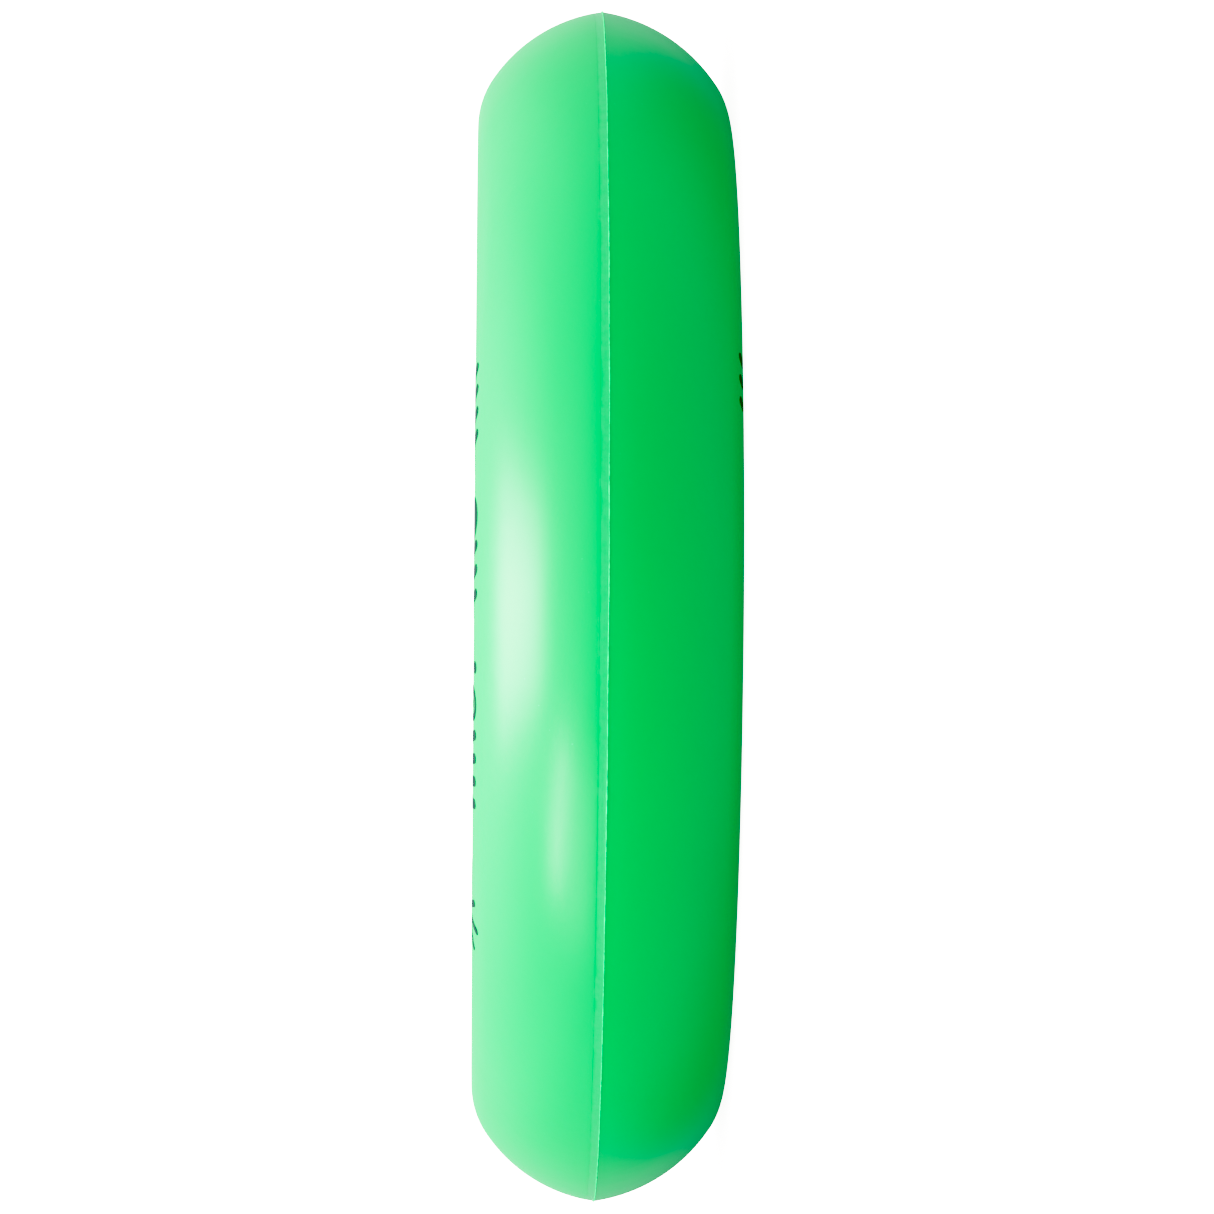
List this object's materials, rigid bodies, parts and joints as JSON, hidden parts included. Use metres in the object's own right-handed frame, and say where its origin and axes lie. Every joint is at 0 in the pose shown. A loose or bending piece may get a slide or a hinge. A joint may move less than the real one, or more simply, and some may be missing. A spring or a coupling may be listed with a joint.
{
  "type": "flying ring",
  "caption": "Hollow plastic throwing ring of fat rounded section, two welded half shells with a seam ridge and printed marks.",
  "frame": {"origin": "on the ring's axis, at the level of the flat face that it lies on", "axes": "+Z is the ring's axis, from the bottom shell to the top shell; the printed marks on the top are centred on the side towards -Y"},
  "size_m": [0.2038, 0.2038, 0.0428],
  "materials": {
    "shell_green": "semi-gloss soft plastic, slightly milky",
    "weld_flash": "pale stress-whitened flash",
    "black_ink": "matte printing ink"
  },
  "bodies": {
    "root": {"top_shell": "shell_green", "bottom_shell": "shell_green", "outer_weld_bead": "weld_flash", "inner_weld_bead": "weld_flash", "top_print": "black_ink", "bottom_print": "black_ink"}
  },
  "joints": []
}
